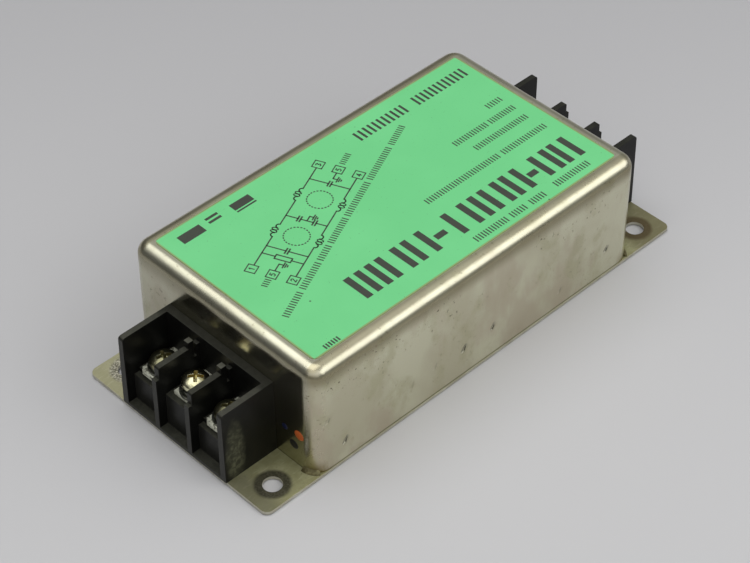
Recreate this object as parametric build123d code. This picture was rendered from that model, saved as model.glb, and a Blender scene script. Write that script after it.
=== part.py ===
from build123d import *
import os
from math import asin, ceil, cos, degrees, radians, sin, tan

# A mains interference filter in a drawn steel case, with a three-pole barrier terminal block at each end.
# Millimetres. X runs from the input end to the output end, Z is up.
# The origin is the centre of the base plate's underside.

# Drawn case
case_length = 114.8
case_width = 66.6
case_height = 34.3
case_wall = 0.8
case_corner_radius = 4.5
case_top_radius = 3.5

# Base plate, with an ear at each end for the block and the mounting holes
plate_thickness = 1.0
plate_ledge = 0.15
plate_corner_radius = 2.0
ear_length = 16.4
hole_diameter = 5.0
hole_from_end = 7.6
hole_from_side = 6.25

# Solder at the four corners of the case
solder_leg = 1.1
solder_arc = 55.0

# Printed film on the top of the case
label_end_margin = 4.15
label_side_margin = 4.2
label_thickness = 0.12
label_corner_radius = 1.8

# Moulded terminal block, measured from the plate and outwards from the case end
pole_count = 3
pole_pitch = 12.05
block_height = 22.9
block_overhang = 0.3
block_draft = 1.0
block_corner_radius = 1.0
rear_wall = 2.4
rib_thickness = 1.7
rib_height = 20.75
rib_step_height = 17.1
rib_front_setback = 1.1
rib_chamfer = 0.4
lug_length = 1.1
lug_slot = 0.8
lug_slot_depth = 3.6
post_length = 1.7
post_drop = 0.1
shelf_height = 11.1
live_shelf_drop = 0.65
shelf_setback = 2.6
ledge_depth = 1.7
ledge_drop = 1.1
floor_thickness = 1.0
core_roof = 1.8
core_front_wall = 1.6
screw_boss_wall = 1.4

# Neck and inner flange that hold the block in the notch of the case end
notch_side_lap = 2.4
notch_top_lap = 4.9
notch_clearance = 0.15
flange_lap = 1.8
flange_thickness = 1.5

# Terminal plates, moulded through the rear wall
terminal_width = 7.7
terminal_thickness = 1.2
terminal_front = 12.5
lip_width = 6.6
lip_stand = 0.5
lip_drop = 0.55
lip_radius = 0.35
terminal_reach = 5.0
collar_wall = 0.8
collar_height = 1.4
collar_clearance = 0.2
earth_leg_gap = 0.5
earth_foot_length = 3.0
earth_bend_radius = 1.4

# Terminal screws with their washers
screw_diameter = 4.0
screw_clearance = 0.05
screw_tip_chamfer = 0.5
screw_from_case = 8.5
screw_length = 7.8
screw_head_diameter = 7.4
screw_head_height = 2.5
screw_head_side = 1.1
screw_head_chamfer = 0.4
recess_width = 4.0
recess_slot = 1.0
recess_depth = 1.7
recess_taper = 9.0
screw_hole_extra = 0.8
earth_screw_stand = 1.0
screw_turns = (68.0, 46.0, 24.0)
flat_washer_diameter = 8.5
flat_washer_thickness = 0.7
spring_washer_diameter = 7.2
spring_washer_thickness = 0.9
spring_washer_gap = 0.7
spring_washer_slant = 30.0
washer_bore_clearance = 0.15

# Insulating liner, spacers and component board
liner_thickness = 0.5
liner_end_margin = 9.0
liner_side_margin = 2.0
board_side_clearance = 1.5
board_end_clearance = 1.25
board_thickness = 1.6
spacer_height = 3.0
spacer_diameter = 6.0
spacer_pin_diameter = 3.0
spacer_pin_stand = 0.6
spacer_from_edge = 4.5
pin_clearance = 0.1

# Two common-mode chokes, each with a line and a neutral winding
choke_gap = 6.4
choke_side_clearance = 0.4
choke_end_clearance = 1.5
core_ring_width = 8.0
core_height = 16.0
core_chamfer = 1.0
wire_diameter = 2.2
wire_clearance = 0.1
wire_bend = 2.0
divider_thickness = 1.2
divider_clearance = 0.1
divider_stand = 1.0

# Capacitors and bleed resistor
x_cap_length = 26.5
x_cap_width = 8.5
x_cap_height = 17.0
x_cap_pin_pitch = 22.5
x_cap_chamfer = 0.8
x_cap_from_side = 0.8
y_cap_diameter = 10.0
y_cap_thickness = 4.5
y_cap_chamfer = 1.2
y_cap_pin_pitch = 7.5
y_cap_spacing = 20.0
y_cap_lift = 2.0
y_cap_from_side = 3.4
resistor_diameter = 3.4
resistor_length = 9.0
resistor_chamfer = 0.6
resistor_pin_pitch = 15.0
resistor_lift = 0.6
resistor_past_choke = 3.5
resistor_from_side = 3.6
pin_diameter = 0.8
pin_tail = 1.4

# How far cuts run past a surface, and how closely an edge's height is matched
cut_past = 5.0
edge_match = 0.01

# Places worked out from the sizes above
case_end = case_length / 2
case_side = case_width / 2
case_top = plate_thickness + case_height
plate_length = case_length + 2 * ear_length
plate_width = case_width + 2 * plate_ledge
block_depth = ear_length + block_overhang
bay_width = pole_pitch - rib_thickness
bays_half_width = pole_count * pole_pitch / 2 - rib_thickness / 2
notch_width = 2 * (bays_half_width + rib_thickness - notch_side_lap)
notch_height = block_height - notch_top_lap
shelf_front = block_depth - shelf_setback
pole_places = [(i - (pole_count - 1) / 2) * pole_pitch for i in range(pole_count)]
live_shelf = shelf_height - live_shelf_drop
ledge_top = live_shelf - ledge_drop
shelves = [shelf_height if pole == 0 else live_shelf for pole in pole_places]
plate_tops = [shelf + terminal_thickness for shelf in shelves]
ring_tops = [top + flat_washer_thickness for top in plate_tops]
screw_stands = [earth_screw_stand if pole == 0 else 0 for pole in pole_places]
head_seats = [top + spring_washer_thickness + stand for top, stand in zip(ring_tops, screw_stands)]
flange_back = case_wall + notch_clearance + flange_thickness
earth_reach = flange_back + earth_leg_gap + terminal_thickness + earth_foot_length
collar_radius = screw_diameter / 2 + collar_wall
screw_hole_radius = collar_radius + collar_clearance
liner_top = plate_thickness + liner_thickness
board_bottom = liner_top + spacer_height
board_top = board_bottom + board_thickness
board_length = 2 * (case_end - earth_reach - board_end_clearance)
board_width = 2 * (case_side - case_wall - board_side_clearance)
x_cap_y = board_width / 2 - x_cap_from_side - x_cap_width / 2
y_cap_y = -(board_width / 2 - y_cap_from_side - y_cap_thickness / 2)
resistor_y = -(board_width / 2 - resistor_from_side - resistor_diameter / 2)

# The chokes are as large as the board allows, both beside the capacitors and end to end
choke_room_across = x_cap_y - x_cap_width / 2 - choke_side_clearance
choke_room_along = (board_length / 2 - choke_end_clearance - choke_gap / 2) / 2
turn_outer_radius = min(choke_room_across, choke_room_along)
core_outer_diameter = 2 * (turn_outer_radius - wire_clearance - wire_diameter)
core_inner_diameter = core_outer_diameter - 2 * core_ring_width
turn_inner_radius = core_inner_diameter / 2 - wire_clearance - wire_diameter
choke_place = choke_gap / 2 + turn_outer_radius
resistor_place = -choke_place - resistor_past_choke
core_bottom = board_top + wire_diameter + wire_clearance
lead_z = plate_thickness + live_shelf + terminal_thickness + wire_diameter / 2


def block_at(end, shape):
    """Places a shape made outwards from the case end: end is 1 for the output and -1 for the input."""
    turn = 0 if end > 0 else 180
    return Rot(0, 0, turn) * Pos(case_end, 0, plate_thickness) * shape


def between(low, high):
    """A block from its lowest corner to its highest corner."""
    size = [high[i] - low[i] for i in range(3)]
    return Pos(*low) * Box(*size, align=(Align.MIN, Align.MIN, Align.MIN))


def upright(radius, low, high):
    """A vertical cylinder on the Z axis between two heights."""
    return Pos(0, 0, low) * Cylinder(radius, high - low, align=(Align.CENTER, Align.CENTER, Align.MIN))


def base_plate():
    """Stamped plate with rounded corners and four mounting holes."""
    outline = RectangleRounded(plate_length, plate_width, plate_corner_radius)
    pitch_x = plate_length - 2 * hole_from_end
    pitch_y = plate_width - 2 * hole_from_side
    outline -= GridLocations(pitch_x, pitch_y, 2, 2) * Circle(hole_diameter / 2)
    return extrude(outline, plate_thickness)


def drawn_shape(inset):
    """Outer form of the case, or its inside when inset by the wall, with a rolled top edge."""
    length = case_length - 2 * inset
    width = case_width - 2 * inset
    form = extrude(RectangleRounded(length, width, case_corner_radius - inset), case_height - inset)
    rim = form.faces().sort_by(Axis.Z)[-1].edges()
    return Pos(0, 0, plate_thickness) * fillet(rim, case_top_radius - inset)


def case():
    """Drawn can, open below, with a notch in each end for the neck of a terminal block."""
    can = drawn_shape(0) - drawn_shape(case_wall)
    half = notch_width / 2
    notch = between((-cut_past, -half, -cut_past), (cut_past, half, notch_height))
    for end in (-1, 1):
        can -= block_at(end, notch)
    return can


def corner_solder():
    """A concave run of solder round each case corner, where the plate shows beside it."""
    foot = (case_corner_radius + solder_leg, 0)
    section = make_face(Polyline((case_corner_radius, 0), foot, (case_corner_radius, solder_leg), close=True))
    run = revolve(Plane.XZ * section, Axis.Z, solder_arc)
    centre_x = case_end - case_corner_radius
    centre_y = case_side - case_corner_radius
    first = Pos(centre_x, centre_y, plate_thickness) * run
    pair = [first, mirror(first, Plane.XZ)]
    return Compound(children=pair + [mirror(one, Plane.YZ) for one in pair])


def top_label():
    """Thin printed film, centred on the flat top."""
    length = case_length - 2 * label_end_margin
    width = case_width - 2 * label_side_margin
    film = extrude(RectangleRounded(length, width, label_corner_radius), label_thickness)
    return Pos(0, 0, case_top) * film


def terminal_plate(shelf):
    """Flat part of a terminal, from inside the case to its front edge, with a drawn collar for a screw."""
    back = (-flange_back - terminal_reach, -terminal_width / 2, shelf)
    plate = between(back, (terminal_front, terminal_width / 2, shelf + terminal_thickness))
    return plate + Pos(screw_from_case, 0, 0) * upright(collar_radius, shelf - collar_height, shelf)


def screw_bore(shelf):
    """Tapped bore through a terminal and its collar."""
    return Pos(screw_from_case, 0, 0) * upright(screw_diameter / 2, 0, shelf + terminal_thickness)


def live_terminal():
    """Tinned plate with a lip bent down over its shelf's front; the lead is soldered on its inner end."""
    top = live_shelf + terminal_thickness
    lip = between((0, -lip_width / 2, live_shelf - lip_drop), (lip_stand, lip_width / 2, top))
    bend = lip.edges().filter_by(Axis.Y).sort_by_distance((lip_stand, 0, top))[0]
    lip = Pos(terminal_front, 0, 0) * fillet(bend, lip_radius)
    return terminal_plate(live_shelf) + lip - screw_bore(live_shelf)


def earth_terminal():
    """Tinned plate bent down behind the inner flange, with a foot that is welded to the base plate."""
    half = terminal_width / 2
    top = shelf_height + terminal_thickness
    leg_x = -flange_back - earth_leg_gap - terminal_thickness
    bend = Polyline(
        (terminal_front, top),
        (leg_x, top),
        (leg_x, terminal_thickness),
        (leg_x - earth_foot_length, terminal_thickness),
        (leg_x - earth_foot_length, 0),
        (leg_x + terminal_thickness, 0),
        (leg_x + terminal_thickness, shelf_height),
        (terminal_front, shelf_height),
        close=True,
    )
    strip = extrude(Plane.XZ * make_face(bend), half, both=True)
    outer_bend = strip.edges().filter_by(Axis.Y).sort_by_distance((leg_x, 0, top))[0]
    strip = fillet(outer_bend, earth_bend_radius)
    strip += Pos(screw_from_case, 0, 0) * upright(collar_radius, shelf_height - collar_height, shelf_height)
    return strip - screw_bore(shelf_height)


def block_body():
    """Outside of the moulding: drafted ends, rounded top front edge, and the neck and flange behind it."""
    top_half = bays_half_width + rib_thickness
    foot_half = top_half + block_height * tan(radians(block_draft))
    foot = [(-foot_half, 0), (foot_half, 0)]
    top = [(top_half, block_height), (-top_half, block_height)]
    body = extrude(Plane.YZ * make_face(Polyline(*foot, *top, close=True)), block_depth)
    top_front = body.edges().filter_by(Axis.Y).sort_by_distance((block_depth, 0, block_height))[0]
    body = fillet(top_front, block_corner_radius)
    neck_half = notch_width / 2 - notch_clearance
    flange_half = notch_width / 2 + flange_lap
    neck_top = notch_height - notch_clearance
    body += between((-case_wall - notch_clearance, -neck_half, 0), (0, neck_half, neck_top))
    inside = -flange_back
    flange_front = (-case_wall - notch_clearance, flange_half, neck_top + flange_lap)
    body += between((inside, -flange_half, 0), flange_front)
    return body


def bay_space(pole, shelf):
    """What one bay leaves open: the wire space above the shelf and the well in front of it."""
    half = bay_width / 2
    over = block_height + cut_past
    past = block_depth + cut_past
    space = between((rear_wall, -half, shelf), (past, half, over))
    space += between((shelf_front, -half, floor_thickness), (past, half, over))
    if pole != 0:
        space += between((shelf_front - ledge_depth, -half, ledge_top), (past, half, over))
    return Pos(0, pole, 0) * space


def core_space(pole):
    """Coring under one shelf, open below, round a boss for the screw."""
    half = bay_width / 2
    roof = ledge_top - core_roof
    hollow = between((rear_wall, -half, 0), (shelf_front - core_front_wall, half, roof))
    hollow -= Pos(screw_from_case, 0, 0) * upright(screw_hole_radius + screw_boss_wall, 0, roof)
    return Pos(0, pole, 0) * hollow


def terminal_block():
    """Moulded barrier block: stepped ribs, each with a lug and a cover post, and one shelf to a bay."""
    block = block_body()
    for pole, shelf in zip(pole_places, shelves):
        block -= bay_space(pole, shelf)
    half = bays_half_width
    over = block_height + cut_past
    past = block_depth + cut_past
    block -= between((rear_wall, -half, rib_height), (past, half, over))
    block -= between((block_depth - rib_front_setback, -half, rib_step_height), (past, half, over))
    slot_start = rear_wall + lug_length
    slot_end = slot_start + lug_slot
    block -= between((slot_start, -half, rib_height - lug_slot_depth), (slot_end, half, over))
    post_back = (slot_end, -rib_thickness / 2, rib_height)
    post_front = (slot_end + post_length, rib_thickness / 2, block_height - post_drop)
    for low, high in zip(pole_places, pole_places[1:]):
        block += Pos(0, (low + high) / 2, 0) * between(post_back, post_front)
    front = block_depth - rib_front_setback
    tops = block.edges().filter_by(Axis.Y)
    tops = tops.filter_by_position(Axis.Z, rib_height - edge_match, rib_height + edge_match)
    tops = tops.filter_by_position(Axis.X, front - edge_match, front + edge_match)
    block = chamfer(tops, rib_chamfer)
    for pole, shelf, seat in zip(pole_places, shelves, head_seats):
        block -= core_space(pole)
        well = upright(screw_hole_radius, seat - screw_length - screw_hole_extra, shelf)
        block -= Pos(screw_from_case, pole, 0) * well
        block -= Pos(0, pole, 0) * terminal_plate(shelf)
    return block


def terminal_screw():
    """Pan-head screw with a cross recess, standing on the origin by the underside of its head."""
    radius = screw_head_diameter / 2
    dome = screw_head_height - screw_head_side
    ball = (radius**2 + dome**2) / (2 * dome)
    halfway = asin(radius / ball) / 2
    mid = (ball * sin(halfway), screw_head_height - ball + ball * cos(halfway))
    outline = Polyline((0, screw_head_height), (0, 0), (radius, 0), (radius, screw_head_side))
    outline += ThreePointArc((radius, screw_head_side), mid, (0, screw_head_height))
    head = revolve(make_face(Plane.XZ * outline), Axis.Z)
    rings = head.edges().filter_by(GeomType.CIRCLE)
    rim = rings.filter_by_position(Axis.Z, screw_head_side - edge_match, screw_head_side + edge_match)
    head = chamfer(rim, screw_head_chamfer)
    cross = Rectangle(recess_width, recess_slot) + Rectangle(recess_slot, recess_width)
    recess = extrude(cross, -recess_depth, taper=recess_taper)
    head -= Pos(0, 0, screw_head_height) * recess
    shank = upright(screw_diameter / 2 - screw_clearance, -screw_length, 0)
    return head + chamfer(shank.faces().sort_by(Axis.Z)[0].edges(), screw_tip_chamfer)


def flat_washer():
    """Round washer on the terminal plate."""
    bore = screw_diameter / 2 + washer_bore_clearance
    ring = upright(flat_washer_diameter / 2, 0, flat_washer_thickness)
    return ring - upright(bore, 0, flat_washer_thickness)


def spring_washer():
    """Split lock washer under the head, with its slanting gap."""
    bore = screw_diameter / 2 + washer_bore_clearance
    ring = upright(spring_washer_diameter / 2, 0, spring_washer_thickness)
    ring -= upright(bore, 0, spring_washer_thickness)
    gap = Box(spring_washer_diameter, spring_washer_gap, spring_washer_diameter)
    gap = Rot(spring_washer_slant, 0, 0) * gap
    return ring - Pos(spring_washer_diameter / 2, 0, spring_washer_thickness / 2) * gap


def at_poles(end, shape, heights):
    """One copy of a fixing at each pole of a block, each at its own height and turned by its own angle."""
    copies = []
    for pole, turn, height in zip(pole_places, screw_turns, heights):
        copies.append(block_at(end, Pos(screw_from_case, pole, height) * Rot(0, 0, turn) * shape))
    return Compound(children=copies)


def base_liner():
    """Insulating sheet on the base plate, clear of the feet of the earth terminals."""
    length = case_length - 2 * liner_end_margin
    width = case_width - 2 * liner_side_margin
    return Pos(0, 0, plate_thickness) * extrude(Rectangle(length, width), liner_thickness)


def spacer_places():
    """Centres of the four board spacers."""
    return GridLocations(board_length - 2 * spacer_from_edge, board_width - 2 * spacer_from_edge, 2, 2)


def board_spacers():
    """Four shouldered spacers, each with a pin through the board."""
    spacer = upright(spacer_diameter / 2, liner_top, board_bottom)
    spacer += upright(spacer_pin_diameter / 2, board_bottom, board_top + spacer_pin_stand)
    return Compound(children=[place * spacer for place in spacer_places()])


def pin_places():
    """Centres of the component pins, in pairs that belong to the capacitors and the resistor."""
    pairs = [(end * choke_place, x_cap_y, x_cap_pin_pitch) for end in (-1, 1)]
    pairs += [(end * y_cap_spacing / 2, y_cap_y, y_cap_pin_pitch) for end in (-1, 1)]
    pairs.append((resistor_place, resistor_y, resistor_pin_pitch))
    return [(x + side * pitch / 2, y) for x, y, pitch in pairs for side in (-1, 1)]


def component_board():
    """Insulating board with holes for the spacers and the component pins."""
    plan = Rectangle(board_length, board_width)
    plan -= spacer_places() * Circle(spacer_pin_diameter / 2 + pin_clearance)
    for x, y in pin_places():
        plan -= Pos(x, y) * Circle(pin_diameter / 2 + pin_clearance)
    return Pos(0, 0, board_bottom) * extrude(plan, board_thickness)


def choke_core():
    """Coated ferrite ring with chamfered edges, centred on the Z axis."""
    middle = (core_outer_diameter + core_inner_diameter) / 4
    width = (core_outer_diameter - core_inner_diameter) / 2
    section = chamfer(Rectangle(width, core_height).vertices(), core_chamfer)
    return revolve(Plane.XZ * Pos(middle, core_bottom + core_height / 2) * section, Axis.Z)


def winding(side):
    """Close-wound turns on one half of the ring, ending in line with the terminals: side is 1 or -1."""
    ring_middle = (turn_inner_radius + turn_outer_radius) / 2
    tall = core_height + 2 * (wire_clearance + wire_diameter)
    wide = turn_outer_radius - turn_inner_radius
    hole_tall = core_height + 2 * wire_clearance
    hole_wide = wide - 2 * wire_diameter
    turn = chamfer(Rectangle(wide, tall).vertices(), wire_bend)
    turn -= chamfer(Rectangle(hole_wide, hole_tall).vertices(), core_chamfer)
    one = extrude(Plane.XZ * turn, wire_diameter / 2, both=True)
    one = Pos(ring_middle, 0, board_top + tall / 2) * one
    first = degrees(asin(pole_pitch / (turn_outer_radius - wire_diameter / 2)))
    span = 180 - 2 * first
    steps = ceil(radians(span) * turn_inner_radius / wire_diameter)
    turns = [Rot(0, 0, side * (first + span * i / steps)) * one for i in range(steps + 1)]
    coil = turns[0]
    for another in turns[1:]:
        coil += another
    return coil


def choke_divider():
    """Upright insulating strip across the bore, between the two windings."""
    half = core_inner_diameter / 2 - divider_clearance
    top = core_bottom + core_height + divider_stand
    return between((-half, -divider_thickness / 2, board_top), (half, divider_thickness / 2, top))


def pins(pitch, top):
    """A pair of component pins through the board."""
    pin = upright(pin_diameter / 2, board_bottom - pin_tail, top)
    return Pos(-pitch / 2, 0, 0) * pin + Pos(pitch / 2, 0, 0) * pin


def x_capacitor():
    """Box film capacitor standing on the board."""
    box = extrude(Rectangle(x_cap_length, x_cap_width), x_cap_height)
    box = chamfer(box.edges().filter_by(Axis.Z) + box.faces().sort_by(Axis.Z)[-1].edges(), x_cap_chamfer)
    return Pos(0, 0, board_top) * box + pins(x_cap_pin_pitch, board_top + x_cap_chamfer)


def y_capacitor():
    """Coated disc capacitor standing on its two legs."""
    middle = board_top + y_cap_lift + y_cap_diameter / 2
    disc = Pos(0, 0, middle) * Rot(90, 0, 0) * Cylinder(y_cap_diameter / 2, y_cap_thickness)
    disc = chamfer(disc.edges().filter_by(GeomType.CIRCLE), y_cap_chamfer)
    return disc + pins(y_cap_pin_pitch, middle)


def bleed_resistor():
    """Axial resistor lying just clear of the board on its bent legs."""
    middle = board_top + resistor_lift + resistor_diameter / 2
    body = Pos(0, 0, middle) * Rot(0, 90, 0) * Cylinder(resistor_diameter / 2, resistor_length)
    body = chamfer(body.edges().filter_by(GeomType.CIRCLE), resistor_chamfer)
    wire = Pos(0, 0, middle) * Rot(0, 90, 0) * Cylinder(pin_diameter / 2, resistor_pin_pitch)
    return body + wire + pins(resistor_pin_pitch, middle)


def lead(start, end, pole, windings):
    """Straight wire along X, cut where it meets the turn that it is soldered to."""
    rod = Pos(start, pole, lead_z) * Rot(0, 90, 0) * upright(wire_diameter / 2, 0, end - start)
    for coil in windings:
        rod -= coil
    return max(rod.solids(), key=lambda piece: piece.volume)


lead_outer = case_end - flange_back - wire_clearance
lead_inner = choke_place + turn_outer_radius * cos(asin(pole_pitch / turn_outer_radius)) - wire_diameter
link_reach = 2 * choke_place - lead_inner

nodes = {
    "base_plate": base_plate(),
    "case": case(),
    "corner_solder": corner_solder(),
    "top_label": top_label(),
    "base_liner": base_liner(),
    "board_spacers": board_spacers(),
    "component_board": component_board(),
}

for end, name in ((-1, "input"), (1, "output")):
    nodes[f"{name}_terminal_block"] = block_at(end, terminal_block())
    nodes[f"{name}_line_terminal"] = block_at(end, Pos(0, end * pole_pitch, 0) * live_terminal())
    nodes[f"{name}_neutral_terminal"] = block_at(end, Pos(0, -end * pole_pitch, 0) * live_terminal())
    nodes[f"{name}_earth_terminal"] = block_at(end, earth_terminal())
    nodes[f"{name}_terminal_screws"] = at_poles(end, terminal_screw(), head_seats)
    nodes[f"{name}_flat_washers"] = at_poles(end, flat_washer(), plate_tops)
    nodes[f"{name}_spring_washers"] = at_poles(end, spring_washer(), ring_tops)
    nodes[f"{name}_choke_core"] = Pos(end * choke_place, 0, 0) * choke_core()
    nodes[f"{name}_choke_divider"] = Pos(end * choke_place, 0, 0) * choke_divider()
    nodes[f"{name}_line_winding"] = Pos(end * choke_place, 0, 0) * winding(1)
    nodes[f"{name}_neutral_winding"] = Pos(end * choke_place, 0, 0) * winding(-1)
    nodes[f"{name}_x_capacitor"] = Pos(end * choke_place, x_cap_y, 0) * x_capacitor()

for side, name in ((1, "line"), (-1, "neutral")):
    coils = [nodes[f"input_{name}_winding"], nodes[f"output_{name}_winding"]]
    pole = side * pole_pitch
    nodes[f"input_{name}_lead"] = lead(-lead_outer, -lead_inner, pole, coils)
    nodes[f"output_{name}_lead"] = lead(lead_inner, lead_outer, pole, coils)
    nodes[f"{name}_link"] = lead(-link_reach, link_reach, pole, coils)
    nodes[f"{name}_y_capacitor"] = Pos(side * y_cap_spacing / 2, y_cap_y, 0) * y_capacitor()

nodes["bleed_resistor"] = Pos(resistor_place, resistor_y, 0) * bleed_resistor()

os.makedirs("parts", exist_ok=True)
for name, shape in nodes.items():
    export_step(shape, f"parts/{name}.step")
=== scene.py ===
from math import atan2, cos, hypot, pi, radians, sin

import bmesh
import bpy
from mathutils import Matrix, Vector


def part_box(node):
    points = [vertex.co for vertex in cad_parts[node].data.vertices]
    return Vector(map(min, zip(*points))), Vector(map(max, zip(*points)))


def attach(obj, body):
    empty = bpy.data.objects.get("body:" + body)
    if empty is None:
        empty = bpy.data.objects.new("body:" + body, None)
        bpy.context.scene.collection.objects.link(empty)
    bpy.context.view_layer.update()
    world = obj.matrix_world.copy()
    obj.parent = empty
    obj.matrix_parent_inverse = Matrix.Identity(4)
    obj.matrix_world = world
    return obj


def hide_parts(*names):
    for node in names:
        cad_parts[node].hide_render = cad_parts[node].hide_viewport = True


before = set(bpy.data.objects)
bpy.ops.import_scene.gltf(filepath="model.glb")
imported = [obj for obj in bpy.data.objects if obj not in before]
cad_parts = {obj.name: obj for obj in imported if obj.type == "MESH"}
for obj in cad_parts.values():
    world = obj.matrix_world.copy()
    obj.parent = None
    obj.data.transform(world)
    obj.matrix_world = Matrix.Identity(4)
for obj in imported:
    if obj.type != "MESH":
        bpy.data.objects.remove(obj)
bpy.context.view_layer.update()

# The camera stands where the photograph was taken from: in front of the input end, to its right,
# 43 degrees above the bench, with a long lens.
lens = bpy.data.cameras.new("camera")
lens.lens = 109.64
lens.sensor_width = 36.0
lens.clip_start = 0.01
lens.clip_end = 10.0
camera = bpy.data.objects.new("camera", lens)
bpy.context.collection.objects.link(camera)
right = Vector((0.71665, -0.69743, -0.00164))
down = Vector((-0.47793, -0.48939, -0.72944))
ahead = Vector((0.50793, 0.52353, -0.68405))
turn = Matrix((right, -down, -ahead)).transposed().to_4x4()
camera.matrix_world = Matrix.Translation((-0.30484, -0.30880, 0.41326)) @ turn
bpy.context.scene.camera = camera
bpy.context.scene.view_settings.view_transform = "Standard"


class Signal:
    """A socket of a finish's node tree. Operators on signals add the Math nodes that they stand for."""

    def __init__(self, tree, socket=None):
        self.tree = tree
        self.socket = socket

    def node(self, kind, settings, inputs, output=0):
        """Adds one node: settings first, then the values or signals of its inputs."""
        made = self.tree.nodes.new(kind)
        for name, value in settings.items():
            setattr(made, name, value)
        for name, value in inputs.items():
            if isinstance(value, Signal):
                self.tree.links.new(value.socket, made.inputs[name])
            else:
                made.inputs[name].default_value = value
        return Signal(self.tree, made.outputs[output])

    def math(self, operation, *values):
        """One Math node on these values."""
        return self.node("ShaderNodeMath", {"operation": operation}, dict(enumerate(values)))

    def __add__(self, other):
        return self.math("ADD", self, other)

    def __sub__(self, other):
        return self.math("SUBTRACT", self, other)

    def __mul__(self, other):
        return self.math("MULTIPLY", self, other)

    def __truediv__(self, other):
        return self.math("DIVIDE", self, other)

    def __radd__(self, other):
        return self.math("ADD", other, self)

    def __rsub__(self, other):
        return self.math("SUBTRACT", other, self)

    def __rmul__(self, other):
        return self.math("MULTIPLY", other, self)

    def size(self):
        """Its distance from zero."""
        return self.math("ABSOLUTE", self)

    def larger(self, other):
        """The larger of two signals."""
        return self.math("MAXIMUM", self, other)

    def full(self):
        """Itself, but never above 1."""
        return self.math("MINIMUM", self, 1.0)

    def part(self, axis):
        """X, Y or Z of a vector, by number."""
        return self.node("ShaderNodeSeparateXYZ", {}, {0: self}, axis)

    def facing(self, axis):
        """How far the surface faces along X, Y or Z, from -1 to 1."""
        return self.node("ShaderNodeNewGeometry", {}, {}, 1).part(axis)

    def rise(self, low, high):
        """0 below low, 1 above high, smooth between; falls instead when low is above high."""
        settings = {"interpolation_type": "SMOOTHSTEP"}
        return self.node("ShaderNodeMapRange", settings, {0: self, 1: low, 2: high})

    def grain(self, scale, detail=3.0, rough=0.55, stretch=None):
        """Cloudy noise on this place, per metre, stretched along the axes if asked."""
        place = self
        if stretch:
            place = self.node("ShaderNodeVectorMath", {"operation": "MULTIPLY"}, {0: self, 1: stretch})
        inputs = {"Vector": place, "Scale": scale, "Detail": detail, "Roughness": rough}
        return self.node("ShaderNodeTexNoise", {}, inputs)

    def mixed(self, first, second):
        """Colour between two colours by this share."""
        return self.node("ShaderNodeMix", {"data_type": "RGBA"}, {0: self, 6: first, 7: second}, 2)


def finish(name, metal=0.0, rough=0.5, level=0.5):
    """A new material, its shader and the object coordinates as a vector and as X, Y and Z."""
    material = bpy.data.materials.new(name)
    material.use_nodes = True
    tree = material.node_tree
    shader = tree.nodes["Principled BSDF"]
    shader.inputs["Metallic"].default_value = metal
    shader.inputs["Roughness"].default_value = rough
    shader.inputs["Specular IOR Level"].default_value = level
    place = Signal(tree).node("ShaderNodeTexCoord", {}, {}, 3)
    axes = [place.part(i) for i in range(3)]
    return material, shader, place, axes


def feed(shader, **signals):
    """Links signals to the shader's sockets, or sets plain values."""
    tree = shader.id_data
    for name, value in signals.items():
        socket = shader.inputs[name.replace("_", " ").title()]
        if isinstance(value, Signal):
            tree.links.new(value.socket, socket)
        else:
            socket.default_value = value


def bumped(height, depth):
    """Normal of a surface with this height pattern, depth in metres."""
    return height.node("ShaderNodeBump", {}, {"Strength": 1.0, "Distance": depth, "Height": height})


def dress(node, material):
    """Gives a piece one finish all over."""
    node.data.materials.clear()
    node.data.materials.append(material)


# A pale bench, with painted shade darkening it towards the far side, under plain soft light: a broad lamp
# overhead, one nearer to the right and one in front, in a dim room that is darkest low on the left.
near_floor = (0.60, 0.60, 0.612, 1)
far_floor = (0.43, 0.43, 0.445, 1)
below_plate = -0.0002
bpy.ops.mesh.primitive_plane_add(size=16.0, location=(0, 0, below_plate))
floor = bpy.context.object
floor.name = "bench"
bench_material, shader, place, (x, y, z) = finish("bench_paper", rough=0.8, level=0.1)
# Painted shade: the bench's colour darkens towards the far side, standing in for the light's falloff.
painted_falloff = x * 0.7 + y * 0.7
feed(shader, base_color=painted_falloff.rise(-0.12, 0.26).mixed(near_floor, far_floor))
dress(floor, bench_material)


def lamp(name, towards, distance, width, depth, glow):
    """A rectangular lamp of this brightness that faces the object from a direction."""
    light = bpy.data.lights.new(name, "AREA")
    light.shape = "RECTANGLE"
    light.size = width
    light.size_y = depth
    light.energy = glow * pi * width * depth
    light.color = (1.0, 0.995, 0.985)
    holder = bpy.data.objects.new(name, light)
    bpy.context.collection.objects.link(holder)
    holder.location = Vector(towards).normalized() * distance
    holder.rotation_euler = Vector(towards).to_track_quat("Z", "Y").to_euler()


lamp("overhead_lamp", (-0.06, 0.26, 0.96), distance=3.2, width=2.7, depth=2.9, glow=1.28)
lamp("right_lamp", (0.50, -0.60, 0.625), distance=1.5, width=2.0, depth=0.92, glow=1.45)
lamp("front_lamp", (-0.62, -0.50, 0.60), distance=3.2, width=4.4, depth=3.2, glow=0.48)
left_wall = (0.08, 0.08, 0.08, 1)
right_wall = (0.24, 0.24, 0.235, 1)
ceiling = (0.70, 0.70, 0.70, 1)
world = bpy.data.worlds.new("room")
bpy.context.scene.world = world
world.use_nodes = True
direction = Signal(world.node_tree).node("ShaderNodeTexCoord", {}, {}, 0)
x, y, z = [direction.part(i) for i in range(3)]
walls = (x - y).rise(-1.3, 0.6).mixed(left_wall, right_wall)
room = z.rise(0.42, 1.0).mixed(walls, ceiling)
world.node_tree.links.new(room.socket, world.node_tree.nodes["Background"].inputs[0])


def alone():
    """Leaves nothing selected, in object mode."""
    if bpy.context.object and bpy.context.object.mode != "OBJECT":
        bpy.ops.object.mode_set(mode="OBJECT")
    bpy.ops.object.select_all(action="DESELECT")


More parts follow.
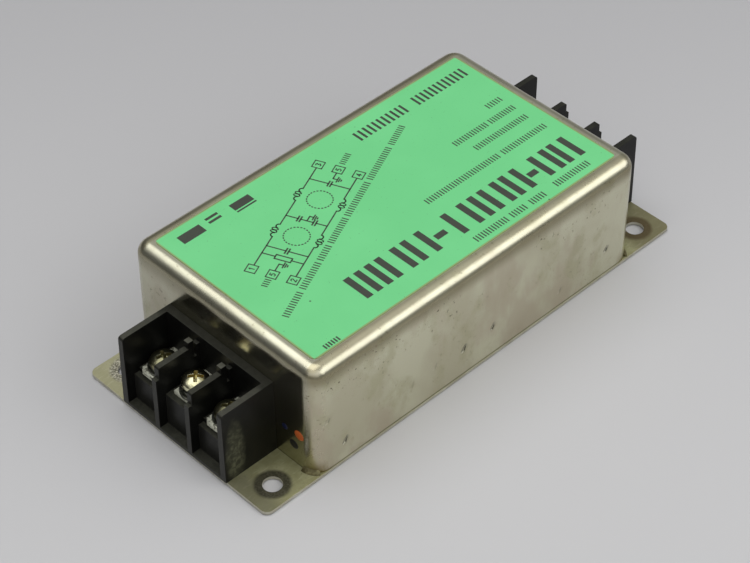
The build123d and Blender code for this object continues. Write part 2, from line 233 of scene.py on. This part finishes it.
def settle(name):
    """Names the active piece, puts its place in its mesh and fixes it to the base."""
    piece = bpy.context.object
    piece.name = name
    piece.data.name = name
    bpy.ops.object.transform_apply(location=True, rotation=True, scale=True)
    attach(piece, "root")
    return piece


def apply_modifier(piece, kind, **settings):
    """Adds a modifier to the active piece and applies it."""
    modifier = piece.modifiers.new(kind.lower(), kind)
    for name, value in settings.items():
        setattr(modifier, name, value)
    bpy.ops.object.modifier_apply(modifier=modifier.name)


def pick(piece, kind, wanted):
    """Selects the active piece's edges or faces that a test on their middle and direction accepts."""
    bpy.ops.object.mode_set(mode="EDIT")
    bpy.ops.mesh.select_mode(type=kind)
    bpy.ops.mesh.select_all(action="DESELECT")
    mesh = bmesh.from_edit_mesh(piece.data)
    for one in mesh.edges if kind == "EDGE" else mesh.faces:
        if kind == "EDGE":
            a, b = (v.co for v in one.verts)
            chosen = wanted((a + b) / 2, (b - a).normalized())
        else:
            chosen = wanted(one.calc_center_median(), one.normal)
        one.select_set(chosen)
    bmesh.update_edit_mesh(piece.data)


def softened(node, name, width, segments=2):
    """A merged copy of a CAD node with its sharp edges rounded, as moulding or tumbling leaves them."""
    alone()
    piece = bpy.data.objects.new(name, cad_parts[node].data.copy())
    bpy.context.collection.objects.link(piece)
    piece.data.materials.clear()
    piece.select_set(True)
    bpy.context.view_layer.objects.active = piece
    bpy.ops.mesh.customdata_custom_splitnormals_clear()
    bpy.ops.object.mode_set(mode="EDIT")
    bpy.ops.mesh.select_all(action="SELECT")
    bpy.ops.mesh.remove_doubles(threshold=0.000002)
    bpy.ops.mesh.dissolve_limited(angle_limit=radians(1.0))
    bpy.ops.object.mode_set(mode="OBJECT")
    bevel = {"width": width, "segments": segments, "limit_method": "ANGLE", "angle_limit": radians(30.0)}
    apply_modifier(piece, "BEVEL", miter_outer="MITER_ARC", **bevel)
    bpy.ops.object.shade_smooth_by_angle(angle=radians(38.0))
    apply_modifier(piece, "WEIGHTED_NORMAL", keep_sharp=True)
    settle(name)
    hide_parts(node)
    return piece


# Base plate: 1 mm steel, stamped with rounded corners and four holes, then passivated to an olive
# tint. Screw heads have rubbed a ring round each hole: dark at the front, brown at the output end, and
# down to bright metal behind the input block.
hole_x = 0.0662
hole_y = 0.0272
rubbed_radius = 0.0047
ear_start = 0.058
ear_end = 0.0715
plate = softened("base_plate", "plate", 0.00012)
plate_finish, shader, place, (x, y, z) = finish("olive_passivation", metal=0.55)
across = x.size() - hole_x
along = y.size() - hole_y
from_hole = across * across + along * along
from_hole = from_hole.math("POWER", from_hole, 0.5)
mottle = place.grain(260.0, 4.0, 0.6)
fine = place.grain(2400.0, 3.0, 0.6)
smear = place.grain(70.0, 3.0, 0.5, stretch=(1.0, 2.2, 1.0))
drawn = place.grain(1100.0, 2.0, 0.6, stretch=(0.3, 1.6, 1.0))
tint = mottle.rise(0.3, 0.75).mixed((0.305, 0.300, 0.152, 1), (0.405, 0.400, 0.228, 1))
tint = (smear.rise(0.45, 0.75) * 0.5).mixed(tint, (0.465, 0.455, 0.285, 1))
tint = (drawn.rise(0.55, 0.72) * 0.35).mixed(tint, (0.62, 0.60, 0.42, 1))
tint = (fine.rise(0.58, 0.70) * mottle.rise(0.4, 0.6) * 0.5).mixed(tint, (0.13, 0.12, 0.06, 1))
# The plate is darker towards its near front corner.
front_corner_darkening = x.rise(-0.066, -ear_end) * y.rise(-0.012, -0.024) * (0.35 + mottle * 0.6)
tint = front_corner_darkening.mixed(tint, (0.14, 0.135, 0.09, 1))
browned = x.rise(ear_start, ear_start + 0.006) * (0.35 + smear * 0.45)
tint = browned.mixed(tint, (0.14, 0.12, 0.065, 1))
pale = x.rise(-ear_start, -ear_start - 0.006) * y.rise(-0.005, 0.02)
tint = (pale * 0.30).mixed(tint, (0.62, 0.59, 0.43, 1))
dark_ring = fine.rise(0.38, 0.66).mixed((0.032, 0.030, 0.018, 1), (0.090, 0.083, 0.054, 1))
dark_ring = (x.rise(0.0, 0.02) * 0.7).mixed(dark_ring, (0.125, 0.088, 0.035, 1))
bright_ring = fine.rise(0.40, 0.60).mixed((0.16, 0.15, 0.11, 1), (0.66, 0.64, 0.52, 1))
behind_input = y.rise(0.0, 0.02) * x.rise(0.0, -0.02)
ring = (from_hole + mottle * 0.0006).rise(rubbed_radius + 0.0009, rubbed_radius - 0.0004)
tint = (ring * 0.92).mixed(tint, behind_input.mixed(dark_ring, bright_ring))
cut_edge = place.facing(2).size().rise(0.7, 0.3)
edge_tint = mottle.rise(0.35, 0.7).mixed((0.50, 0.48, 0.38, 1), (0.62, 0.61, 0.52, 1))
tint = cut_edge.mixed(tint, edge_tint)
metal = 0.55 + cut_edge * 0.4
rough = (0.44 + mottle * 0.16 + ring * 0.08) * (1 - cut_edge * 0.35)
feed(shader, base_color=tint, metallic=metal, roughness=rough, normal=bumped(fine * 0.5 + mottle, 0.00003))
dress(plate, plate_finish)

# Case: drawn from one steel blank, so its upright corners and its top edge are rolled, and its
# sides are not quite flat. Nickel plated, dulled and flecked by age, with dents from staking.
case_low, case_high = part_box("case")
corner_radius = 0.0045
rolled_radius = 0.0035
wall = 0.0008
block_draft = 0.0004
notch_side_lap = 0.0024
notch_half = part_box("input_terminal_block")[1].y - block_draft - notch_side_lap
notch_middle = 0.009
notch_cut = (0.006, 2 * notch_half, 0.0199)


def upright_edge(at, way):
    return abs(way.z) > 0.9


def top_edge(at, way):
    return at.z > case_high.z - 0.0001


def foot_face(at, way):
    return at.z < case_low.z + 0.0001


alone()
middle = (case_low + case_high) / 2
bpy.ops.mesh.primitive_cube_add(size=1.0, location=middle, scale=case_high - case_low)
can = settle("can")
pick(can, "EDGE", upright_edge)
bpy.ops.mesh.bevel(offset=corner_radius, segments=10, profile=0.5)
pick(can, "EDGE", top_edge)
bpy.ops.mesh.bevel(offset=rolled_radius, segments=10, profile=0.5)
pick(can, "FACE", foot_face)
bpy.ops.mesh.delete(type="FACE")
bpy.ops.object.mode_set(mode="OBJECT")
apply_modifier(can, "SOLIDIFY", thickness=wall, offset=-1.0, use_even_offset=True)
for end in (-1, 1):
    at_end = (end * case_high.x, 0, notch_middle)
    bpy.ops.mesh.primitive_cube_add(size=1.0, location=at_end, scale=notch_cut)
    cutter = bpy.context.object
    alone()
    can.select_set(True)
    bpy.context.view_layer.objects.active = can
    apply_modifier(can, "BOOLEAN", object=cutter, operation="DIFFERENCE", solver="EXACT")
    bpy.data.objects.remove(cutter)
bpy.ops.object.shade_smooth_by_angle(angle=radians(35.0))
apply_modifier(can, "WEIGHTED_NORMAL", keep_sharp=True)
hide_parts("case")
can_finish, shader, place, (x, y, z) = finish("dulled_nickel", metal=1.0)
cloud = place.grain(55.0, 3.0, 0.5, stretch=(1.0, 1.0, 0.8))
stain = place.grain(75.0, 4.0, 0.6, stretch=(1.0, 1.0, 0.5))
smoke = place.grain(130.0, 4.0, 0.6, stretch=(1.0, 1.0, 0.7))
fleck = place.grain(900.0, 2.0, 0.5)
ragged = place.grain(1100.0, 2.0, 0.5)
wave = place.grain(60.0, 1.0, 0.4)
peel = place.grain(3200.0, 1.0, 0.4)
tint = cloud.rise(0.38, 0.62).mixed((0.590, 0.562, 0.412, 1), (0.685, 0.670, 0.505, 1))
tint = (stain.rise(0.48, 0.64) * 0.55).mixed(tint, (0.520, 0.450, 0.340, 1))
tint = (smoke.rise(0.50, 0.68) * 0.55).mixed(tint, (0.480, 0.470, 0.300, 1))

# The top roll of the case, from below: painted shade in a darker band under it, painted shade in an olive
# strip beside the film on the long sides, and a paler crest that whitens the highlight on it, a painted
# highlight.
roll_foot = 0.0285
roll_side = 0.0326
film_side = 0.0291
end_wall = place.facing(0).size().rise(0.8, 0.98)
shaded = z.rise(roll_foot - end_wall * 0.0010, roll_side) * z.rise(0.0342, 0.0334)
tint = (shaded * 0.72).mixed(tint, (0.235, 0.205, 0.115, 1))
flank = (y.size() - film_side).rise(0.0, 0.0004) * (y.size() - 0.0318).rise(0.0004, -0.0008)
tint = (flank * z.rise(0.0340, 0.0345) * 0.5).mixed(tint, (0.40, 0.365, 0.21, 1))
crest = z.rise(0.0330, 0.0342) * (1 - flank * 0.8)
tint = (crest * 0.4).mixed(tint, (0.655, 0.66, 0.53, 1))
# Painted shade: both end walls are darker and greyer than the long sides.
tint = (end_wall * 0.35).mixed(tint, (0.36, 0.355, 0.30, 1))
under_roll = z.rise(0.021, 0.028) * z.rise(0.0325, 0.030)
specks = fleck.rise(0.62, 0.70) * smoke.rise(0.44, 0.56) * (0.30 + under_roll * 0.65)
tint = specks.mixed(tint, (0.16, 0.13, 0.08, 1))

# Dents in the near long side of the case, each pressed in, with painted shade streaked dark across it and
# a small painted highlight below it. Each row has the place along and up the wall, the size and the force.
dents = [
    (-0.0474, 0.0072, 0.0008, 1.0),
    (-0.0529, 0.0179, 0.0008, 0.35),
    (-0.0246, 0.0099, 0.0012, 0.2),
    (-0.0166, 0.0108, 0.0010, 0.2),
    (-0.0063, 0.0098, 0.0009, 1.0),
    (0.0040, 0.0104, 0.0008, 0.9),
    (0.0293, 0.0065, 0.0009, 0.3),
    (0.0470, 0.0095, 0.0008, 1.0),
]
pressed = dent_shade = dent_highlight = 0.0
for dent_x, dent_z, dent_size, force in dents:
    up_wall = (z - dent_z + (ragged - 0.5) * 0.0009) / dent_size
    along_wall = (x - dent_x + (ragged - 0.5) * 0.0007) / dent_size - up_wall * 0.35
    streak = along_wall * along_wall * 7 + up_wall * up_wall
    hollow = along_wall * along_wall + up_wall * up_wall * 0.6
    gleam_x = along_wall + 0.55
    gleam_z = up_wall + 0.75
    spot = gleam_x * gleam_x * 3 + gleam_z * gleam_z * 5
    pressed = pressed + hollow.rise(2.0, 0.0) * force
    dent_shade = dent_shade + streak.rise(1.3, 0.4) * force + hollow.rise(2.5, 0.3) * force * 0.2
    dent_highlight = dent_highlight + spot.rise(1.0, 0.2) * force
near_side = y.rise(0.0, -0.01)
# Painted shade in each dent, then a painted highlight below it, on the near side only.
tint = ((dent_shade * near_side).full() * 0.95).mixed(tint, (0.055, 0.048, 0.025, 1))
tint = ((dent_highlight * near_side).full() * 0.8).mixed(tint, (0.95, 0.93, 0.75, 1))

# The foot of the case: painted shade in a dark line along its foot, and golden brown residue near the
# soldered corners.
# The rolls and corners are a little rougher than the flat walls.
foot_shade_top = 0.0016
residue_top = 0.0060
# Painted shade along the foot of the case.
foot_shade = z.rise(foot_shade_top, foot_shade_top - 0.0005)
tint = (foot_shade * 0.7).mixed(tint, (0.10, 0.095, 0.07, 1))
near_corner = (x.size() - 0.0505).rise(0.0, 0.004) * (y.size() - 0.0285).rise(0.0, 0.003)
residue = z.rise(residue_top, 0.0010) * near_corner * smoke.rise(0.3, 0.5)
tint = (residue * 0.75).mixed(tint, (0.20, 0.145, 0.045, 1))
roll = z.rise(case_high.z - 0.0045, case_high.z - 0.0020)
bend_x = (x.size() - case_high.x + corner_radius).rise(-0.0015, 0.0020)
bend_y = (y.size() - case_high.y + corner_radius).rise(-0.0015, 0.0020)
bend = (bend_x * bend_y).larger(roll)
rough = 0.16 + bend * 0.09 + cloud * 0.05 + smoke.rise(0.4, 0.8) * 0.05 + residue * 0.15
relief = wave * 0.7 + peel * (0.001 + bend * 0.03) - pressed * near_side * 0.7
feed(shader, base_color=tint, roughness=rough, normal=bumped(relief, 0.00035))
dress(can, can_finish)

# Solder: a short concave run at the foot of each case corner. It is dull, and brown flux was left
# on it.
solder = softened("corner_solder", "solder", 0.0001)
solder_finish, shader, place, (x, y, z) = finish("dull_solder", metal=0.5)
lump = place.grain(900.0, 3.0, 0.6)
tint = lump.rise(0.4, 0.7).mixed((0.095, 0.082, 0.032, 1), (0.22, 0.20, 0.095, 1))
feed(shader, base_color=tint, roughness=0.42 + lump * 0.2, normal=bumped(lump, 0.00012))
dress(solder, solder_finish)

# Label: a thin printed polyester film stuck to the flat top, light green, with a thin brown line of
# old adhesive at its edge and two dark flecks.
film = softened("top_label", "film", 0.00003, 1)
film_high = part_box("top_label")[1]
film_finish, shader, place, (x, y, z) = finish("green_film", rough=0.42, level=0.4)
wash = place.grain(45.0, 3.0, 0.5)
speck = place.grain(1500.0, 2.0, 0.5)
tint = wash.rise(0.35, 0.7).mixed((0.172, 0.680, 0.268, 1), (0.188, 0.715, 0.288, 1))
edge_x = (x.size() - film_high.x).rise(-0.00065, -0.00025)
edge_y = (y.size() - film_high.y).rise(-0.00065, -0.00025)
tint = (edge_x.larger(edge_y) * 0.75).mixed(tint, (0.30, 0.24, 0.09, 1))
fleck_rim = 0.00034
fleck_core = 0.00018
flecks = speck.rise(0.70, 0.76) * 0.35
for fleck_x, fleck_y in ((-0.0402, -0.0137), (0.0281, -0.0286)):
    from_fleck = (x - fleck_x) * (x - fleck_x) + (y - fleck_y) * (y - fleck_y)
    flecks = flecks + from_fleck.rise(fleck_rim ** 2, fleck_core ** 2) * 0.8
tint = flecks.full().mixed(tint, (0.05, 0.10, 0.05, 1))
feed(shader, base_color=tint, roughness=0.40 + wash * 0.1, normal=bumped(wash + speck * 0.02, 0.0001))
dress(film, film_finish)

# Print on the label: dark grey ink laid down as flat strokes, in rows of fine and heavy bars, with a
# circuit drawn at a slant, as the sheet has it. Sizes here are in mm.
ink_thickness = 0.03
alone()
bpy.ops.mesh.primitive_cube_add(size=0.001, location=(0, 0, 0), scale=(1, 1, ink_thickness))
patch = bpy.context.object
bpy.ops.object.transform_apply(location=True, rotation=True, scale=True)
strokes = []
upright = Matrix.Translation((0, 0, film_high.z * 1000 + ink_thickness * 0.4))
slanted = upright @ Matrix.Translation((-42.6, 4.6, 0)) @ Matrix.Rotation(radians(24.1), 4, "Z")


def stroke(x0, y0, x1, y1, thick, axes=upright, overrun=0.3):
    """One copy of the patch, stretched from point to point on the given axes."""
    length = hypot(x1 - x0, y1 - y0) + thick * 2 * overrun
    middle = Matrix.Translation(((x0 + x1) / 2, (y0 + y1) / 2, 0))
    way = Matrix.Rotation(atan2(y1 - y0, x1 - x0), 4, "Z")
    whole = axes @ (middle @ way) @ Matrix.Diagonal((length, thick, 1, 1))
    whole.translation *= 0.001
    mark = bpy.data.objects.new("stroke", patch.data.copy())
    mark.data.transform(whole)
    bpy.context.collection.objects.link(mark)
    strokes.append(mark)


def path(points, thick):
    """Slanted strokes from each point to the next."""
    for a, b in zip(points, points[1:]):
        stroke(*a, *b, thick, slanted)


def arc(u, v, wide, high, start, end, steps, thick):
    """A path round part of an ellipse."""
    turns = [start + (end - start) * i / steps for i in range(steps + 1)]
    path([(u + wide * cos(t), v + high * sin(t)) for t in turns], thick)


def bars(foot, height, groups, pitch, thick, axes=upright):
    """Upright bars in groups, each group from a start to an end along the row."""
    for start, end in groups:
        gaps = max(1, round((end - start - thick) / pitch))
        step = (end - start - thick) / gaps
        for i in range(gaps + 1):
            at = start + thick / 2 + i * step
            stroke(at, foot, at, foot + height, thick, axes, 0)


# The circuit: two rails, six numbered squares, two double coils, two cores drawn as broken rings, a
# resistor, capacitors and three earth signs.
line = 0.36
span = 42.15
drop = -11.15
centre = drop / 2
earth_top = -6.8
earth_step = 0.5
digits = {
    1: ((0.15, 1.1), (0.45, 1.4), (0.45, 0)),
    2: ((0, 1.1), (0.2, 1.4), (0.6, 1.4), (0.8, 1.05), (0, 0), (0.85, 0)),
    3: ((0, 1.3), (0.4, 1.4), (0.75, 1.1), (0.35, 0.75), (0.8, 0.4), (0.4, 0), (0, 0.15)),
    4: ((0.6, 0), (0.6, 1.4), (0, 0.45), (0.85, 0.45)),
    5: ((0.75, 1.4), (0.15, 1.4), (0.05, 0.8), (0.5, 0.9), (0.8, 0.5), (0.5, 0), (0, 0.1)),
}
squares = [(1, 0, 0), (2, 0, drop), (3, span, 0), (4, span, drop), (5, 0, centre), (5, span, centre)]
square_half = 1.35
outline = [(-1, -1), (1, -1), (1, 1), (-1, 1), (-1, -1)]
for number, u, v in squares:
    path([(u + square_half * a, v + square_half * b) for a, b in outline], line * 0.85)
    path([(u - 0.42 + a, v - 0.7 + b) for a, b in digits[number]], line * 0.75)
for v, way in ((0, 1), (drop, -1)):
    for start, end in ((1.6, 12.6), (17.5, 27.2), (32.1, span - 1.6)):
        stroke(start, v, end, v, line, slanted)
    for coil in (15.05, 29.65):
        for hump in (-1.7, 1.7):
            arc(coil + hump, v, 0.75, 0.75, 0, way * pi, 6, line)
        for loop in (-0.48, 0.48):
            arc(coil + loop, v + way * 0.5, 0.42, 0.85, 0, 2 * pi, 10, line * 0.8)
core_radius = 3.35
dashes = 24
for u in (14.9, 29.7):
    for i in range(dashes):
        start = 2 * pi * i / dashes
        arc(u, centre, core_radius, core_radius, start, start + 0.10, 1, 0.34)
path([(6.2, 0), (6.2, -3.6)], line)
path([(6.2, -7.9), (6.2, drop)], line)
path([(5.45, -3.6), (6.95, -3.6), (6.95, -7.9), (5.45, -7.9), (5.45, -3.6)], line)
foil_half = 1.0
foil_gap = 0.35
for u, gaps in ((9.0, (-5.6,)), (21.1, (-3.65, -7.8)), (36.2, (-5.6,))):
    top = 0
    for gap in gaps:
        stroke(u, top, u, gap + foil_gap, line, slanted)
        for side in (foil_gap, -foil_gap):
            stroke(u - foil_half, gap + side, u + foil_half, gap + side, line * 1.2, slanted)
        top = gap - foil_gap
    stroke(u, top, u, drop, line, slanted)
path([(21.1, -5.7), (22.9, -5.7), (22.9, -6.7)], line)
path([(40.8, centre), (38.4, centre), (38.4, -6.7)], line)
path([(1.4, centre), (4.0, centre), (4.0, -6.7)], line)
for u in (4.0, 22.9, 38.4):
    for i, half in enumerate((1.0, 0.65, 0.3)):
        v = earth_top - i * earth_step
        stroke(u - half, v, u + half, v, line, slanted)

# The rows, each with its foot, height, groups, pitch and bar width: three at a slant beside the
# circuit, then the level ones from the top down, the heavy row, its dashes and the plain blocks.
low_groups = [(-12.4, -3.4), (-2.0, 7.9), (9.0, 14.6), (15.8, 25.5)]
high_groups = [(26.6, 40.2), (41.6, 55.0), (56.5, 64.5)]
bars(-6.35, 1.7, [(44.6, 48.9)], 0.85, 0.32, slanted)
bars(-6.2, 1.7, [(-4.6, -2.0)], 0.85, 0.32, slanted)
bars(-15.2, 1.85, low_groups + high_groups, 0.88, 0.34, slanted)
bars(20.9, 3.7, [(10.4, 27.8), (31.6, 50.1)], 1.62, 0.72)
bars(6.9, 2.0, [(43.6, 48.7)], 0.9, 0.36)
bars(2.1, 2.0, [(26.4, 38.4), (39.6, 48.7)], 0.9, 0.36)
bars(-2.8, 2.0, [(29.2, 48.3)], 0.9, 0.36)
bars(-8.8, 2.0, [(5.2, 31.4), (33.0, 48.9)], 0.9, 0.36)
bars(-27.2, 2.1, [(3.9, 15.2), (16.8, 21.9), (23.9, 28.9)], 0.92, 0.38)
bars(-26.8, 2.1, [(33.4, 45.8)], 0.92, 0.38)
bars(-28.3, 1.5, [(-48.6, -43.9)], 0.85, 0.45)
left_groups = [(-29.7, -20.8), (-19.4, -12.2), (-10.6, -3.8)]
right_groups = [(9.2, 15.0), (16.6, 23.0), (24.3, 30.3), (35.2, 41.3), (42.4, 48.5)]
bars(-22.7, 8.8, left_groups + right_groups, 3.9, 2.0)
stroke(4.6, -22.7, 4.6, -13.9, 2.0, upright, 0)
for start, end, v, thick in (
    (-2.6, 1.0, -18.8, 1.9),
    (31.0, 34.1, -18.8, 1.9),
    (-48.4, -41.2, 24.3, 3.2),
    (-39.0, -35.0, 24.4, 0.8),
    (-39.0, -35.0, 25.9, 0.8),
    (-31.2, -24.8, 24.6, 2.6),
    (-31.2, -24.8, 22.6, 0.5),
):
    stroke(start, v, end, v, thick, upright, 0)
alone()
bpy.data.objects.remove(patch)
for mark in strokes:
    mark.select_set(True)
bpy.context.view_layer.objects.active = strokes[0]
bpy.ops.object.join()
ink = settle("print")
ink_finish, shader, place, axes = finish("grey_ink", rough=0.5, level=0.35)
wash = place.grain(600.0, 3.0, 0.5)
feed(shader, base_color=wash.mixed((0.044, 0.052, 0.040, 1), (0.062, 0.070, 0.055, 1)))
dress(ink, ink_finish)

# Terminal blocks: one black phenolic moulding at each end. Its walls, ribs, lugs and posts have the
# soft edges of a worn mould, and dust lies on what faces up.
block_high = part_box("output_terminal_block")[1]
lug_side = 0.015
wall_side = 0.018
block_finish, shader, place, (x, y, z) = finish("black_phenolic", level=0.14)
dust = place.grain(700.0, 4.0, 0.65)
cloud = place.grain(120.0, 3.0, 0.6)
level_top = place.facing(2).rise(0.5, 0.95)
front_face = place.facing(0).size().rise(0.7, 0.95)
dust_with_painted_shade = level_top * (0.45 + dust.rise(0.25, 0.75) * 0.4)
# The dust fades towards the case, and on the output block it is painted fainter still: painted shade on
# those tops.
dust_with_painted_shade = dust_with_painted_shade * (1 - x.size().rise(0.0630, 0.0600) * 0.45) * (1 - x.rise(0.0, 0.01) * 0.5)
tint = cloud.rise(0.4, 0.7).mixed((0.0055, 0.0055, 0.0048, 1), (0.0085, 0.0085, 0.0075, 1))
tint = (dust_with_painted_shade * 0.75).mixed(tint, (0.080, 0.081, 0.062, 1))
wall_ends = front_face * x.size().rise(block_high.x - 0.0030, block_high.x - 0.0020)
tint = (wall_ends * (0.10 + cloud * 0.40)).mixed(tint, (0.085, 0.086, 0.072, 1))
lugs = y.size().rise(lug_side + 0.001, lug_side - 0.001)
tips = level_top * x.rise(-0.0605, -0.0630) * (0.35 + lugs * 0.65)
tips = tips * z.rise(block_high.z - 0.0014, block_high.z - 0.0008)
tint = (tips * 0.6).mixed(tint, (0.125, 0.125, 0.10, 1))
# Painted reflection: a lighter olive patch on the outer walls, strongest on the input block's near wall,
# where the plate beside it shows.
reflection_x = (x.size() - block_high.x + 0.0036) / 0.0030
reflection_z = (z - 0.0090) / 0.0105
plate_reflection = (reflection_x * reflection_x + reflection_z * reflection_z + cloud).rise(2.0, 0.4)
plate_reflection = plate_reflection * (y.size() - wall_side).rise(0.0, 0.001)
plate_reflection = plate_reflection * (0.35 + x.rise(0.0, -0.01) * y.rise(0.0, -0.01) * 0.65)
tint = (plate_reflection * (0.30 + dust.rise(0.40, 0.65) * 0.6)).mixed(tint, (0.125, 0.128, 0.078, 1))
rough = 0.26 + cloud * 0.12 + dust_with_painted_shade * 0.3 + plate_reflection * 0.1
feed(shader, base_color=tint, roughness=rough, normal=bumped(dust * 0.4 + cloud, 0.00004))
for end in ("input", "output"):
    block = softened(f"{end}_terminal_block", f"{end}_block", 0.00022)
    dress(block, block_finish)

# Terminals: plates of tinned brass through the rear wall of the block, dull, with dark pits where the
# tin has worn at the bent front lips.
tin_finish, shader, place, (x, y, z) = finish("dull_tin", metal=0.35)
scratch = place.grain(500.0, 3.0, 0.6, stretch=(1.0, 6.0, 1.0))
pits = place.grain(1100.0, 2.0, 0.5).rise(0.50, 0.60)
outer_poles = y.size().rise(0.005, 0.007)
tint = scratch.mixed((0.74, 0.75, 0.60, 1), (0.92, 0.93, 0.78, 1))
tint = (pits * outer_poles * 0.75).mixed(tint, (0.12, 0.12, 0.08, 1))
feed(shader, base_color=tint, roughness=0.32 + scratch * 0.14, normal=bumped(scratch, 0.00003))
for end in ("input", "output"):
    for pole in ("line", "neutral", "earth"):
        tab = softened(f"{end}_{pole}_terminal", f"{end}_{pole}_plate", 0.00012)
        dress(tab, tin_finish)

# Screws and washers: pan-head steel screws with a yellow passivation, with tarnish and painted shade
# darkening them in the outer bays, a split washer and a flat washer in grey zinc under each head.
screw_low, screw_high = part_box("output_terminal_screws")
pole_pitch = 0.01205
recess_rim = 0.0023
recess_core = 0.0020
screw_finish, shader, place, (x, y, z) = finish("yellow_passivation", metal=1.0)
bloom = place.grain(420.0, 3.0, 0.6)
scuff = place.grain(1800.0, 3.0, 0.6)
tint = bloom.rise(0.35, 0.7).mixed((0.55, 0.52, 0.32, 1), (0.68, 0.665, 0.46, 1))
tint = (scuff.rise(0.62, 0.75) * 0.6).mixed(tint, (0.30, 0.25, 0.15, 1))
pole = y / pole_pitch
from_pole = (pole - pole.math("ROUND", pole)) * pole_pitch
from_axis = x.size() - (screw_low.x + screw_high.x) / 2
reach = from_pole * from_pole + from_axis * from_axis
recess = reach.rise(recess_rim ** 2, recess_core ** 2) * place.facing(2).rise(0.8, 0.5)
tint = (recess * 0.9).mixed(tint, (0.56, 0.47, 0.19, 1))
# Tarnish and painted shade on the screws in the outer bays.
tarnish_and_shade = y.size().rise(0.006, 0.008)
tint = (tarnish_and_shade * 0.75).mixed(tint, (0.165, 0.162, 0.085, 1))
rough = 0.15 + scuff * 0.10 + tarnish_and_shade * 0.12 + recess * 0.25
feed(shader, base_color=tint, roughness=rough, normal=bumped(scuff, 0.00003))
washer_finish, shader, place, (x, y, z) = finish("grey_zinc", metal=1.0)
bloom = place.grain(700.0, 3.0, 0.6)
tint = bloom.rise(0.35, 0.7).mixed((0.10, 0.105, 0.085, 1), (0.24, 0.24, 0.20, 1))
feed(shader, base_color=tint, roughness=0.24 + bloom * 0.12, normal=bumped(bloom, 0.00004))
for end in ("input", "output"):
    screws = softened(f"{end}_terminal_screws", f"{end}_screws", 0.0001)
    dress(screws, screw_finish)
    for kind in ("flat", "spring"):
        washers = softened(f"{end}_{kind}_washers", f"{end}_{kind}_rings", 0.00008)
        dress(washers, washer_finish)

# Paint dots: three inspection marks dabbed on the input end of the case, right of the block. Each is
# a low dome of paint, cut flat where it sits on the steel.
dome_height = 0.00014
back = {"plane_co": (case_low.x + 0.00002, 0, 0), "plane_no": (1, 0, 0), "threshold": 1e-6}
for name, dot_y, dot_z, radius, colour in (
    ("orange_dot", -0.0275, 0.0117, 0.0016, (0.60, 0.13, 0.025, 1)),
    ("black_dot", -0.0255, 0.0073, 0.0015, (0.007, 0.007, 0.008, 1)),
    ("blue_dot", -0.0224, 0.0112, 0.0010, (0.009, 0.013, 0.055, 1)),
):
    alone()
    dome = {"location": (case_low.x, dot_y, dot_z), "scale": (dome_height, radius, radius * 0.92)}
    bpy.ops.mesh.primitive_uv_sphere_add(segments=24, ring_count=12, radius=1.0, **dome)
    dot = settle(name)
    bpy.ops.object.mode_set(mode="EDIT")
    bpy.ops.mesh.select_all(action="SELECT")
    bpy.ops.mesh.bisect(use_fill=True, clear_outer=True, **back)
    bpy.ops.object.mode_set(mode="OBJECT")
    bpy.ops.object.shade_smooth_by_angle(angle=radians(40.0))
    dot_finish, shader, place, axes = finish(name + "_paint", rough=0.35)
    wash = place.grain(1200.0, 2.0, 0.5)
    darker = tuple(channel * 0.8 for channel in colour[:3]) + (1,)
    feed(shader, base_color=wash.mixed(darker, colour), normal=bumped(wash, 0.0001))
    dress(dot, dot_finish)

# Inside the closed case: liner, spacers, board, chokes, capacitors and resistor. Nothing shows, so
# the CAD's own solids stay, each with the finish of its kind. Each row has a dark and a light tint,
# how metallic and how rough the piece is, and the scale of its grain.
enamelled_copper = ((0.42, 0.14, 0.035, 1), (0.52, 0.20, 0.06, 1), 1.0, 0.3, 400.0)
inner_finishes = {
    "liner": ((0.50, 0.38, 0.20, 1), (0.58, 0.46, 0.26, 1), 0.0, 0.7, 300.0),
    "spacers": ((0.74, 0.72, 0.65, 1), (0.80, 0.78, 0.71, 1), 0.0, 0.4, 300.0),
    "board": ((0.42, 0.37, 0.16, 1), (0.50, 0.45, 0.22, 1), 0.0, 0.45, 900.0),
    "core": ((0.03, 0.03, 0.033, 1), (0.05, 0.05, 0.054, 1), 0.0, 0.55, 900.0),
    "divider": ((0.22, 0.08, 0.04, 1), (0.28, 0.11, 0.06, 1), 0.0, 0.6, 500.0),
    "winding": enamelled_copper,
    "lead": enamelled_copper,
    "link": enamelled_copper,
    "x_capacitor": ((0.60, 0.56, 0.42, 1), (0.66, 0.62, 0.48, 1), 0.0, 0.35, 300.0),
    "y_capacitor": ((0.05, 0.14, 0.45, 1), (0.07, 0.18, 0.52, 1), 0.0, 0.3, 300.0),
    "resistor": ((0.48, 0.33, 0.18, 1), (0.56, 0.40, 0.22, 1), 0.0, 0.35, 300.0),
}
for word, (dark, light, metal, rough, scale) in inner_finishes.items():
    inner_finish, shader, place, axes = finish("inner_" + word, metal=metal)
    wash = place.grain(scale, 3.0, 0.55)
    tint = wash.mixed(dark, light)
    feed(shader, base_color=tint, roughness=rough + wash * 0.1, normal=bumped(wash, 0.00005))
    for name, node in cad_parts.items():
        if name.endswith(word) and not node.hide_render:
            dress(node, inner_finish)
